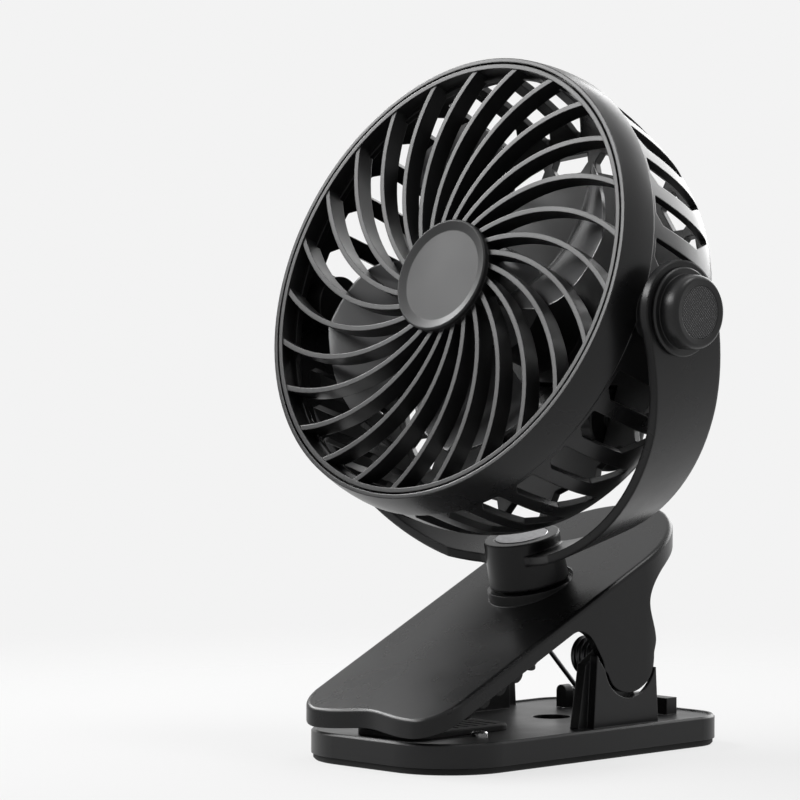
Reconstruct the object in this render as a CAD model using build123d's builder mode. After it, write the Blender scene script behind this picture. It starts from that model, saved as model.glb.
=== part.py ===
from build123d import *
from math import acos, atan2, cos, degrees, hypot, pi, radians, sin, tan
import os

os.makedirs("parts", exist_ok=True)

# Clip fan. Millimetres, +Z up, the front of the fan looks along -Y, the floor is z = 0.
# Origin: centre of the base's underside.

# ---- clearances ----
running_fit = 0.05
face_gap = 0.10
loose_fit = 0.15
wide_gap = 0.40
cut_over = 20.0

# ---- base ----
base_half_width = 35.9
base_half_length = 62.2
base_front_corner = 22.6
base_rear_corner = 13.4
sole_height = 2.0
sole_inset = 0.6
base_top = 9.3
deck_recess = 0.5
deck_rim = 1.6
base_edge = 0.7
deck_hole_radius = 5.9
deck_hole_y = 18.6

# ---- jaw hinge ----
hinge_y = 21.0
hinge_z = 28.5
pin_radius = 3.0
pin_inner_x = 10.6
pin_flange_radius = 3.8
pin_flange = 0.8
pin_end_x = 30.0
lobe_radius = 11.1
lobe_front_gap = 0.4
ear_radius = 8.0
ear_foot_y = 0.7
ear_shoulder = (4.2, 28.0)
ear_back = 4.6
ear_back_drop = 4.0

# ---- towers of the base ----
tower_half_width = 30.9
tower_inner_x = 24.6
tower_skin_x = 28.0
tower_thin_x = 29.6
tower_front_y = 4.7
tower_front_top_y = 6.3
tower_top_z = 31.0
tower_rear_y = 33.5
tower_rear_top_y = 32.4
tower_root = 1.0
tab_x = 15.0
tab_half_width = 2.0
tab_y = 40.4
tab_thickness = 3.4
tab_top = 16.0
cross_wall_half = 22.0
cross_wall_y = 49.5
cross_wall_thickness = 4.6
cross_wall_top = 14.0

# ---- upper jaw ----
jaw_half_width = 30.8
jaw_slope = 25.2
jaw_height_at_zero = 45.49
jaw_plate = 2.4
jaw_band = 5.4
jaw_band_end_y = -4.8
jaw_rear_band = 7.0
jaw_rear_band_y = 45.0
jaw_wall = 2.5
jaw_front_y = -62.4
jaw_front_corner = 11.0
jaw_front_dent = 2.2
dent_reach = 0.6
jaw_rear_centre_y = 28.2
jaw_edge = 1.5

# ---- swivel post, measured along its axis down from the tilt pivot ----
pivot_y = -12.34
pivot_z = 135.6
post_lean = 14.0
post_radius = 12.3
post_top_radius = 11.7
post_top = 72.2
post_bottom = 86.6
collar_radius = 13.2
collar_top = 87.6
neck_radius = 8.5
cap_radius = 8.3
cap_height = 1.0
cap_proud = 0.15
cap_chamfer = 0.25
bolt_radius = 2.5
bolt_head_radius = 4.6
bolt_head_height = 3.2
bolt_head_room = 0.2
bolt_cover = 1.0
bolt_socket_radius = 2.0
bolt_socket_depth = 2.2
under_boss_radius = 12.0
under_boss_height = 4.6
under_boss_end = 94.6
washer_radius = 7.0
washer_height = 1.0
nut_across = 8.0
nut_height = 4.0
bolt_end = 101.2

# ---- head ----
head_tilt = 20.33
axis_rise = 3.5
ring_ahead = 18.5
ring_radius = 70.0
lip_width = 1.3
groove_width = 0.6
groove_depth = 4.0
ring_face = 1.4
seat_width = 3.1
seat_height = 1.2
seat_thickness = 2.0
drum_wall = 2.2
drum_drop = 1.9
shoulder_swell = [(0.0, 0.0), (6.0, 1.2), (11.6, 1.6), (12.6, 0.8)]
barrel_swell = [(12.6, 0.8), (20.0, 0.4), (30.0, -0.6), (40.0, -2.6), (48.6, -6.1)]

# ---- slots round the drum ----
slot_count = 32
slot_first = 12.4
slot_front = 13.8
slot_low_back = 36.0
slot_high_back = 47.3
slot_front_width = 8.9
slot_back_width = 8.1
slot_cut_length = 3.4
slot_cut_width = 2.7
slot_corner = 0.9

# ---- yoke ----
yoke_room = 6.8
yoke_under = 4.9
yoke_thickness = 2.8
yoke_front = 11.6
yoke_rear = 15.8
yoke_full = 34.0
yoke_end_radius = 15.0
yoke_left_end = 8.2
yoke_left_full = 52.0
yoke_waist = 8.7
yoke_waist_reach = 38.0
yoke_waist_rim = 2.0

# ---- trunnions and tilt knob ----
boss_radius = 8.6
boss_depth = 13.8
boss_end_wall = 1.5
tilt_washer_radius = 9.5
tilt_washer_height = 1.9
washer_room = 0.7
spigot_radius = 6.0
spigot_short = 0.2
stud_radius = 3.0
insert_radius = 5.0
insert_length = 8.0
insert_tip = 3.0
knob_flange_radius = 13.0
knob_flange = 1.1
knob_flange_edge = 0.4
knob_body_radius = 10.9
knob_rim_radius = 9.5
knob_height = 7.3
knob_shoulder = 2.0
knob_swell = 0.1
inlay_radius = 7.7
inlay_depth = 0.8
inlay_sunk = 0.25
inlay_land = 0.2
pivot_head_radius = 5.0
pivot_head = 1.0
pivot_head_edge = 0.6

# ---- front grille ----
rib_count = 25
rib_first = 13.05
rib_arc_radius = 55.0
rib_centre_radius = 50.0
rib_centre_lag = 55.0
rib_face = 1.6
rib_depth = 6.0
rib_back = 0.4
grille_hub_radius = 17.55
grille_hub_wall = 1.8
hub_front = 0.2
hub_cap_flat = 14.3
hub_cap_rise = 1.6
hub_cap_dish = 0.9
hub_cap_edge = 0.5
hub_cap_bevel = 0.4
hub_cap_back = 1.0
hub_cap_skirt = 3.0
hub_cap_skirt_wall = 1.4

# ---- impeller: radius, chord, pitch, turn and depth of each blade section ----
blade_count = 4
blade_tip_angle = 0.0
blade_tip_radius = 54.8
blade_thickness = 1.8
blade_camber = 0.06
blade_stations = [
    (14.0, 21.8, 49.7, 2.0, 15.9),
    (28.4, 31.3, 27.8, 12.5, 15.0),
    (40.0, 37.7, 16.3, 20.5, 13.2),
    (48.5, 34.8, 10.9, 28.0, 11.2),
    (56.5, 27.4, 5.4, 34.5, 9.4),
]
impeller_front = 7.2
impeller_back = 26.0
cup_radius = 16.6
cup_wall = 1.8
cup_top = 2.2
cup_edge = 1.6
cup_boss_wall = 1.6
cup_boss_depth = 4.4

# ---- motor, cell and controls in the back of the head ----
motor_radius = 12.2
motor_length = 29.0
motor_behind = 4.8
motor_edge = 1.2
motor_ring = 1.8
motor_ring_height = 0.4
motor_lug_x = 7.0
motor_lug = (0.6, 3.0)
holder_wall = 1.8
holder_back = 9.0
holder_land = 2.0
shaft_radius = 1.5
shaft_in_cup = 3.4
shaft_in_motor = 2.2
shaft_clearance = 0.8
cover_thickness = 2.6
cover_edge = (0.6, 1.2)
cover_back_edge = 1.8
cover_hole_outer = 4.3
cover_hole_inner = 10.7
cover_hole_half = (5.0, 7.4, 6.6)
cover_holes = 20
cover_hole_first = 9.0
pod_half_width = 38.0
pod_top = 22.0
pod_bottom = -39.0
pod_corner = 11.0
pod_wall = 2.0
pod_edge = 3.0
pod_room = 9.0
post_hole_x = 31.0
post_hole_high = 15.5
post_hole_low = -10.3
pod_post_radius = 2.9
cell_radius = 9.1
cell_length = 65.0
cell_v = -25.2
cell_room = 0.9
cell_side_room = 1.9
cell_gap = 0.3
cell_edge = 0.8
cell_tip_radius = 3.2
cell_tip = 1.2
board_clear = 2.8
board_width = 44.0
board_height = 17.0
board_thickness = 1.6
board_v = 4.0
board_chips = [(0.0, 0.0, 6.0, 6.0), (14.0, -5.0, 5.0, 4.0), (12.0, 5.0, 7.0, 4.0)]
chip_height = 1.8
button_radius = 6.0
button_stem_radius = 3.0
button_travel = 0.8
button_proud = 1.4
button_foot_gap = 0.3
button_edge = 0.6
button_head = 2.6
port_width = 9.0
port_height = 3.2
port_length = 7.4
port_wall = 0.35
port_back = 1.0
port_sunk = 0.2
port_tongue = (6.4, 0.8)
port_tongue_short = 1.4

# ---- torsion springs ----
wire = 1.5
coil_radius = 5.4
coil_pitch = 2.1
coil_start_x = 11.2
coil_turns = 4
leg_low_y = 44.6
leg_low_z = 11.0
leg_high_y = 38.6
leg_high_z = 58.6
line_samples = 900

# ---- grip pads and screws ----
pad_half_width = 27.3
pad_front_y = -54.0
pad_back_y = -19.5
pad_corner = 5.0
lower_pad_half_width = 14.0
lower_pad_back_y = -12.0
lower_pad_height = 1.8
lower_pad_corner = 6.0
lower_pad_edge = 0.6
groove_count = 9
groove_pitch = 4.0
groove_size = (1.2, 0.5)
groove_margin = 3.0
upper_pad_height = 3.0
pad_tooth_radius = 3.1
pad_tooth_pitch = 7.6
pad_tooth_inset = 0.4
lower_screw_places = [(-17.8, -31.0), (17.8, -31.0)]
upper_screw_places = [(-17.8, -29.0), (17.8, -29.0)]
screw_head_radius = 2.4
screw_head_height = 1.2
screw_head_edge = 0.4
screw_cross = (2.6, 0.6)
screw_cross_depth = 0.7
screw_radius = 1.2
screw_end_gap = 0.2
lower_screw_length = 4.0
upper_screw_length = 3.0
plate_screw_hole = 1.6
housing_screw_angles = (9, 171, 189, 351)
housing_screw_length = 6.4
lug_radius = 3.6
lug_length = 5.0
lug_reach = 1.3
pod_screw_length = 6.0

# ---- sizes that follow from those above ----
lip_inner = ring_radius - lip_width
ring_outer = lip_inner - groove_width
seat_radius = lip_inner - seat_width
shoulder = [(depth, ring_radius + swell) for depth, swell in shoulder_swell]
barrel = [(depth, ring_radius + swell) for depth, swell in barrel_swell]
barrel_front, front_radius = barrel[0]
drum_end, back_radius = barrel[-1]
widest = max(radius for depth, radius in shoulder)
yoke_inner_radius = widest + yoke_room
yoke_inner_drop = widest + yoke_under
outer_radius = yoke_inner_radius + yoke_thickness
outer_drop = yoke_inner_drop + yoke_thickness
boss_face_x = yoke_inner_radius - washer_room - tilt_washer_height
boss_inner_x = boss_face_x - boss_depth
insert_x = boss_inner_x + boss_end_wall
stud_inner_x = insert_x + insert_tip
knob_near_x = outer_radius + face_gap
knob_face_x = outer_radius + knob_height
deck = base_top - deck_recess
ear_rear_y = hinge_y + ear_back
hub_bottom = rib_back + rib_depth
motor_front = impeller_front + motor_behind
motor_back = motor_front + motor_length
holder_front = motor_front + holder_back
cover_back = drum_end + cover_thickness
board_depth = cover_back + board_clear
pod_back = board_depth + pod_room
pod_centre_v = (pod_top + pod_bottom) / 2
cell_depth = pod_back - pod_wall - cell_gap - cell_radius
hole_outer_radius = back_radius - cover_hole_outer
hole_inner_radius = back_radius - cover_hole_inner
hole_middle = (hole_outer_radius + hole_inner_radius) / 2

# ---- planes that several pieces share ----
tilt = radians(head_tilt)
head_out = Vector(0, -cos(tilt), sin(tilt))
head_up = Vector(0, sin(tilt), cos(tilt))
tilt_pivot = Vector(0, pivot_y, pivot_z)
ring_centre = tilt_pivot + head_up * axis_rise + head_out * ring_ahead
back_centre = ring_centre - head_up * drum_drop
ring_plane = Plane(origin=ring_centre, x_dir=(1, 0, 0), z_dir=head_out)
back_plane = Plane(origin=back_centre, x_dir=(1, 0, 0), z_dir=head_out)
head_section = Plane(origin=ring_centre, x_dir=(1, 0, 0), z_dir=head_up)
back_section = Plane(origin=back_centre, x_dir=(1, 0, 0), z_dir=head_up)
head_axis = Axis(origin=ring_centre, direction=head_out)
back_axis = Axis(origin=back_centre, direction=head_out)
tilt_axis = Axis(origin=tilt_pivot, direction=(1, 0, 0))
knob_section = Plane(origin=tilt_pivot, x_dir=(1, 0, 0), z_dir=(0, -1, 0))
lean = radians(post_lean)
post_up = Vector(0, -sin(lean), cos(lean))
post_across = Vector(0, cos(lean), sin(lean))
yoke_front_plane = Plane(origin=tilt_pivot, x_dir=(1, 0, 0), z_dir=post_across * -1)
yoke_side_plane = Plane(origin=tilt_pivot, x_dir=post_across, z_dir=(1, 0, 0))
slope = radians(jaw_slope)
jaw_rise = tan(slope)
jaw_plane = Plane(
    origin=(0, 0, jaw_height_at_zero),
    x_dir=(1, 0, 0),
    z_dir=(0, -sin(slope), cos(slope)),
)
jaw_under = jaw_plane.offset(-jaw_plate)


def post_plane(down):
    """Plane square to the swivel axis, this far below the tilt pivot."""
    return Plane(origin=tilt_pivot - post_up * down, x_dir=(1, 0, 0), z_dir=post_up)


def barrel_plane(depth):
    """Plane of the drum's round section this far behind the ring."""
    drop = drum_drop * (depth - barrel_front) / (drum_end - barrel_front)
    return Plane(
        origin=ring_centre - head_out * depth - head_up * drop,
        x_dir=(1, 0, 0),
        z_dir=head_out,
    )


def seat_plane(depth):
    """Plane for screws in the back of the head, facing backwards."""
    return Plane(
        origin=back_centre - head_out * depth,
        x_dir=(-1, 0, 0),
        z_dir=head_out * -1,
    )


def polar(radius, angle):
    """Point at this radius and angle in degrees."""
    return (radius * cos(radians(angle)), radius * sin(radians(angle)))


def jaw_top_at(y):
    """Height of the jaw's top plane above a point of the YZ plane."""
    return jaw_height_at_zero + jaw_rise * y


def from_hinge(radius, angle):
    """Point of the YZ plane at this radius and angle about the jaw hinge."""
    y, z = polar(radius, angle)
    return (hinge_y + y, hinge_z + z)


def base_outline(level, inset):
    """Outline of the base, drawn in by this inset."""
    with BuildSketch(Plane.XY.offset(level)) as outline:
        Rectangle(2 * (base_half_width - inset), 2 * (base_half_length - inset))
        fillet(outline.vertices().sort_by(Axis.Y)[:2], base_front_corner - inset)
        fillet(outline.vertices().sort_by(Axis.Y)[-2:], base_rear_corner - inset)
    return outline.sketch


def jaw_outline(inset):
    """Plan of the upper jaw seen from above: dented front edge, round rear end."""
    half = jaw_half_width - inset
    front = jaw_front_y + inset
    dent_half = half * dent_reach
    rear_side = (half, jaw_rear_centre_y)
    with BuildSketch(Plane.XY) as outline:
        with BuildLine():
            Polyline((-half, jaw_rear_centre_y), (-half, front), (-dent_half, front))
            Spline(
                (-dent_half, front),
                (0, front + jaw_front_dent),
                (dent_half, front),
                tangents=[(1, 0), (1, 0)],
            )
            Polyline((dent_half, front), (half, front), rear_side)
            ThreePointArc(rear_side, (0, jaw_rear_centre_y + half), (-half, jaw_rear_centre_y))
        make_face()
        front_corners = outline.vertices().filter_by(lambda v: abs(v.X) > half - running_fit)
        fillet(front_corners.sort_by(Axis.Y)[:2], jaw_front_corner - inset)
    return outline.sketch


def pan_screws(plane, places, length):
    """Pan-head screws seated on this plane, heads along its normal."""
    with BuildPart() as screws:
        with BuildSketch(plane):
            with Locations(places):
                Circle(screw_head_radius)
        extrude(amount=screw_head_height)
        outer = screws.faces().sort_by(Axis(plane.origin, plane.z_dir))[-len(places) :]
        chamfer(outer.edges(), screw_head_edge)
        with BuildSketch(plane):
            with Locations(places):
                Circle(screw_radius)
        extrude(amount=-length)
        with BuildSketch(plane.offset(screw_head_height)):
            with Locations(places):
                Rectangle(*screw_cross)
                Rectangle(*reversed(screw_cross))
        extrude(amount=-screw_cross_depth, mode=Mode.SUBTRACT)
    return screws


def export(builder, name):
    """Label the piece and write its STEP file."""
    builder.part.label = name
    export_step(builder.part, f"parts/{name}.step")


# ---- base sole ----
with BuildPart() as base_sole:
    extrude(base_outline(0, sole_inset), amount=sole_height)
    chamfer(base_sole.faces().sort_by(Axis.Z)[0].edges(), sole_inset)
export(base_sole, "base_sole")

# ---- base shell with its two towers, spring tabs and cross wall ----
cut_front = from_hinge(lobe_radius + wide_gap, 196)
cut_low = from_hinge(lobe_radius + wide_gap, 262)
cut_rear = from_hinge(lobe_radius + wide_gap, 345)
with BuildPart() as base_plate:
    extrude(base_outline(sole_height, 0), amount=base_top - sole_height)
    chamfer(base_plate.faces().sort_by(Axis.Z)[-1].edges(), base_edge)
    extrude(base_outline(deck, deck_rim), amount=deck_recess, mode=Mode.SUBTRACT)
    for side in (-1, 1):
        with BuildSketch(Plane.YZ.offset(side * tower_skin_x)):
            with BuildLine():
                Polyline(
                    cut_rear,
                    (tower_rear_top_y, cut_rear[1]),
                    (tower_rear_y, deck - tower_root),
                    (tower_front_y, deck - tower_root),
                    (tower_front_top_y, tower_top_z),
                )
                Spline(
                    (tower_front_top_y, tower_top_z),
                    cut_front,
                    tangents=[(0.35, -1), (0.276, -0.961)],
                )
                ThreePointArc(cut_front, cut_low, cut_rear)
            make_face()
        extrude(amount=side * (tower_half_width - tower_skin_x))
        with BuildSketch(Plane.YZ.offset(side * tower_skin_x)):
            Polygon(
                (ear_rear_y, deck),
                (tower_rear_y, deck),
                (tower_rear_y, hinge_z),
                (ear_rear_y, hinge_z),
                align=None,
            )
        extrude(amount=side * (tower_thin_x - tower_skin_x), mode=Mode.SUBTRACT)
        with BuildSketch(Plane.YZ.offset(side * tower_inner_x)):
            Polygon(
                (ear_foot_y, deck - tower_root),
                (ear_rear_y, deck - tower_root),
                (ear_rear_y, hinge_z - ear_back_drop),
                (hinge_y, hinge_z),
                from_hinge(ear_radius, 125),
                ear_shoulder,
                align=None,
            )
            with Locations((hinge_y, hinge_z)):
                Circle(ear_radius)
        extrude(amount=side * (tower_skin_x - tower_inner_x))
        with BuildSketch(Plane.YZ.offset(side * tower_inner_x)):
            with Locations((hinge_y, hinge_z)):
                Circle(pin_radius)
        extrude(amount=side * (tower_skin_x - tower_inner_x), mode=Mode.SUBTRACT)
        with BuildSketch(Plane.XZ.offset(-tab_y)):
            with Locations((side * tab_x, (deck + tab_top - tab_half_width) / 2)):
                Rectangle(2 * tab_half_width, tab_top - tab_half_width - deck)
            with Locations((side * tab_x, tab_top - tab_half_width)):
                Circle(tab_half_width)
        extrude(amount=tab_thickness / 2, both=True)
    with BuildSketch(Plane.XY.offset(deck)):
        with Locations((0, cross_wall_y)):
            Rectangle(2 * cross_wall_half, cross_wall_thickness)
    extrude(amount=cross_wall_top - deck)
    with BuildSketch(Plane.XY.offset(deck)):
        with Locations((0, deck_hole_y)):
            Circle(deck_hole_radius)
    extrude(amount=sole_height - deck, mode=Mode.SUBTRACT)
    with BuildSketch(Plane.XY.offset(deck)):
        with Locations(lower_screw_places):
            Circle(screw_radius + running_fit)
    extrude(amount=-lower_screw_length - screw_end_gap, mode=Mode.SUBTRACT)
export(base_plate, "base_plate")

# ---- stub pins of the jaw hinge, pressed into the towers' ears ----
with BuildPart() as hinge_pins:
    for side in (-1, 1):
        with BuildSketch(Plane.YZ.offset(side * pin_inner_x)):
            with Locations((hinge_y, hinge_z)):
                Circle(pin_radius)
        extrude(amount=side * (pin_end_x - pin_inner_x))
        with BuildSketch(Plane.YZ.offset(side * pin_inner_x)):
            with Locations((hinge_y, hinge_z)):
                Circle(pin_flange_radius)
        extrude(amount=side * pin_flange)
export(hinge_pins, "hinge_pins")


# ---- torsion springs ----
def arc_joint(p0, t0, p1, t1):
    """Meeting point of the two equal tangent arcs that join p0 to p1, and the tangent there."""
    span = p1 - p0
    both = t0 + t1
    lean_in = 2 * (1 - t0.dot(t1))
    along = span.dot(both)
    reach = (-along + (along**2 + lean_in * span.dot(span)) ** 0.5) / lean_in
    joint = (p0 + p1 + (t0 - t1) * reach) * 0.5
    heading = ((p1 - t1 * reach) - (p0 + t0 * reach)).normalized()
    return joint, heading


def coil_point(side, angle, first):
    """Point and heading of the coil's centre line; the angle is about the hinge, in degrees."""
    turn = radians(angle)
    x = side * (coil_start_x + coil_pitch * (angle - first) / 360)
    point = Vector(x, *from_hinge(coil_radius, angle))
    heading = Vector(
        side * coil_pitch / (2 * pi),
        -coil_radius * sin(turn),
        coil_radius * cos(turn),
    )
    return point, heading.normalized()


def leaving_angle(y, z, turning):
    """Angle about the hinge at which a straight leg to (y, z) leaves the coil."""
    away = atan2(z - hinge_z, y - hinge_y)
    reach = hypot(y - hinge_y, z - hinge_z)
    return degrees(away + turning * acos(coil_radius / reach))


def least_gap(line):
    """Least clear distance between turns of the wire whose centre line this is."""
    samples = [line.position_at(k / line_samples) for k in range(line_samples + 1)]
    apart = int(3 * wire / line.length * line_samples) + 1
    return -wire + min(
        (samples[i] - samples[j]).length
        for i in range(0, line_samples + 1, 2)
        for j in range(i + apart, line_samples + 1, 2)
    )


low_angle = leaving_angle(leg_low_y, leg_low_z, 1)
high_angle = leaving_angle(leg_high_y, leg_high_z, -1) + 360 * coil_turns
span_count = 4 * coil_turns
span_step = (high_angle - low_angle) / span_count
with BuildPart() as torsion_springs:
    for side in (-1, 1):
        start, start_heading = coil_point(side, low_angle, low_angle)
        finish, finish_heading = coil_point(side, high_angle, low_angle)
        low_length = (start.Z - leg_low_z) / start_heading.Z
        high_length = (leg_high_z - finish.Z) / finish_heading.Z
        low_end = start - start_heading * low_length
        high_end = finish + finish_heading * high_length
        with BuildLine() as coil_line:
            Line(low_end, start)
            for step in range(span_count):
                p0, t0 = coil_point(side, low_angle + step * span_step, low_angle)
                p1, t1 = coil_point(side, low_angle + (step + 1) * span_step, low_angle)
                joint, heading = arc_joint(p0, t0, p1, t1)
                TangentArc(p0, joint, tangent=t0)
                TangentArc(joint, p1, tangent=heading)
            Line(finish, high_end)
        with BuildSketch(Plane(origin=low_end, z_dir=start_heading)):
            Circle(wire / 2)
        sweep(path=coil_line.wire())
    print(f"least gap between turns of the spring: {least_gap(coil_line.wire()):.2f} mm")
export(torsion_springs, "torsion_springs")

# ---- lower grip pad, grooved ----
lower_pad_middle = (0, (lower_pad_back_y + pad_front_y) / 2)
with BuildPart() as lower_grip_pad:
    with BuildSketch(Plane.XY.offset(deck)):
        with Locations(lower_pad_middle):
            RectangleRounded(
                2 * lower_pad_half_width, lower_pad_back_y - pad_front_y, lower_pad_corner
            )
    extrude(amount=lower_pad_height)
    fillet(lower_grip_pad.faces().sort_by(Axis.Z)[-1].edges(), lower_pad_edge)
    with BuildSketch(Plane.XY.offset(deck + lower_pad_height)):
        with Locations(lower_pad_middle):
            with GridLocations(0, groove_pitch, 1, groove_count):
                Rectangle(2 * (lower_pad_half_width - groove_margin), groove_size[0])
    extrude(amount=-groove_size[1], mode=Mode.SUBTRACT)
export(lower_grip_pad, "lower_grip_pad")

lower_pad_screws = pan_screws(Plane.XY.offset(deck), lower_screw_places, lower_screw_length)
export(lower_pad_screws, "lower_pad_screws")

# ---- upper jaw: plate, deep side skirts, collar for the post ----
lobe_end = from_hinge(lobe_radius, 8)
lobe_points = [
    from_hinge(lobe_radius - drop, angle)
    for angle, drop in ((335, 0.3), (297, 1.1), (270, 1.2), (240, 1.0), (213, 0.7), (195, 0.1))
]
lobe_start = from_hinge(lobe_radius + lobe_front_gap, 187)
inside_half = jaw_half_width - jaw_wall
beyond_front = jaw_front_y - 1
beyond_rear = jaw_rear_centre_y + jaw_half_width + 1
band_end = (jaw_band_end_y, jaw_top_at(jaw_band_end_y) - jaw_band)
rear_band_start = (jaw_rear_band_y, jaw_top_at(jaw_rear_band_y) - jaw_rear_band)
rear_skirt_points = [(34.2, 53.4), (30.0, 46.0), (31.4, 39.8), (33.0, 33.5)]
front_skirt_points = [(7.5, 31.4), (3.6, 36.6), (-0.3, 38.6)]
with BuildPart() as upper_jaw:
    with BuildSketch(Plane.YZ):
        with BuildLine():
            Polyline(
                band_end,
                (beyond_front, jaw_top_at(beyond_front) - jaw_band),
                (beyond_front, jaw_top_at(beyond_front)),
                (beyond_rear, jaw_top_at(beyond_rear)),
                (beyond_rear, jaw_top_at(beyond_rear) - jaw_rear_band),
                rear_band_start,
            )
            Spline(
                rear_band_start,
                *rear_skirt_points,
                lobe_end,
                tangents=[(-1, -jaw_rise), (-0.32, -1)],
            )
            Spline(lobe_end, *lobe_points, lobe_start, tangents=[(-0.02, -1), (-0.12, 0.99)])
            Spline(
                lobe_start,
                *front_skirt_points,
                band_end,
                tangents=[(-0.12, 0.990), (-1, -jaw_rise)],
            )
        make_face()
    extrude(amount=jaw_half_width, both=True)
    extrude(jaw_outline(0), amount=pivot_z, mode=Mode.INTERSECT)
    top_face = upper_jaw.faces().sort_by(Axis((0, 0, 0), jaw_plane.z_dir))[-1]
    fillet(top_face.edges(), jaw_edge)
    with BuildSketch(post_plane(collar_top)):
        Circle(collar_radius)
    extrude(amount=collar_top - under_boss_end + under_boss_height / 2)
    with BuildPart(mode=Mode.PRIVATE) as jaw_hollow:
        with BuildSketch(jaw_under):
            Rectangle(4 * jaw_half_width, 4 * base_half_length)
        extrude(amount=-pivot_z)
        extrude(jaw_outline(jaw_wall), amount=pivot_z, both=True, mode=Mode.INTERSECT)
    add(jaw_hollow, mode=Mode.SUBTRACT)
    with BuildSketch(post_plane(under_boss_end)):
        Circle(under_boss_radius)
    extrude(amount=under_boss_height)
    with BuildSketch(post_plane(collar_top)):
        Circle(collar_radius + wide_gap)
    extrude(amount=cut_over, mode=Mode.SUBTRACT)
    with BuildSketch(post_plane(under_boss_end)):
        Circle(bolt_radius + running_fit)
    extrude(amount=cut_over, mode=Mode.SUBTRACT)
    with BuildSketch(Plane.YZ):
        with Locations((hinge_y, hinge_z)):
            Circle(pin_radius + running_fit)
    extrude(amount=pin_end_x + running_fit, both=True, mode=Mode.SUBTRACT)
    with BuildSketch(jaw_under):
        with Locations(upper_screw_places):
            Circle(screw_radius + running_fit)
    extrude(amount=plate_screw_hole, mode=Mode.SUBTRACT)
export(upper_jaw, "upper_jaw")

# ---- upper grip pad, toothed, under the jaw's front ----
pad_length = pad_back_y - pad_front_y
pad_middle = (0, (pad_back_y + pad_front_y) / 2)
tooth_count = int(pad_length / pad_tooth_pitch) + 1
tooth_ys = [pad_back_y - pad_tooth_radius - k * pad_tooth_pitch for k in range(tooth_count)]
tooth_section = Plane(origin=jaw_under.origin, x_dir=jaw_under.y_dir, z_dir=(1, 0, 0))
with BuildPart() as upper_grip_pad:
    with BuildSketch(jaw_under):
        with Locations(pad_middle):
            RectangleRounded(2 * pad_half_width, pad_length, pad_corner)
    extrude(amount=-upper_pad_height)
    with BuildSketch(tooth_section):
        with Locations([(y, -upper_pad_height) for y in tooth_ys]):
            Circle(pad_tooth_radius)
    extrude(amount=pad_half_width - pad_tooth_inset, both=True)
    with BuildSketch(jaw_under):
        with Locations(pad_middle):
            Rectangle(4 * pad_half_width, 4 * pad_length)
    extrude(amount=cut_over, mode=Mode.SUBTRACT)
    with BuildSketch(jaw_under):
        with Locations(pad_middle):
            Rectangle(4 * pad_half_width, 4 * pad_length)
            RectangleRounded(2 * pad_half_width, pad_length, pad_corner, mode=Mode.SUBTRACT)
    extrude(amount=-cut_over, mode=Mode.SUBTRACT)
    with BuildSketch(jaw_under):
        with Locations(upper_screw_places):
            Circle(screw_radius + running_fit)
    extrude(amount=-upper_pad_height, mode=Mode.SUBTRACT)
    with BuildSketch(jaw_under.offset(screw_head_height - upper_pad_height)):
        with Locations(upper_screw_places):
            Circle(screw_head_radius + running_fit)
    extrude(amount=-cut_over, mode=Mode.SUBTRACT)
export(upper_grip_pad, "upper_grip_pad")

under_seat = Plane(
    origin=jaw_under.origin - jaw_plane.z_dir * (upper_pad_height - screw_head_height),
    x_dir=(1, 0, 0),
    z_dir=jaw_plane.z_dir * -1,
)
upper_pad_screws = pan_screws(
    under_seat,
    [(x, -y) for x, y in upper_screw_places],
    upper_screw_length,
)
export(upper_pad_screws, "upper_pad_screws")

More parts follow.
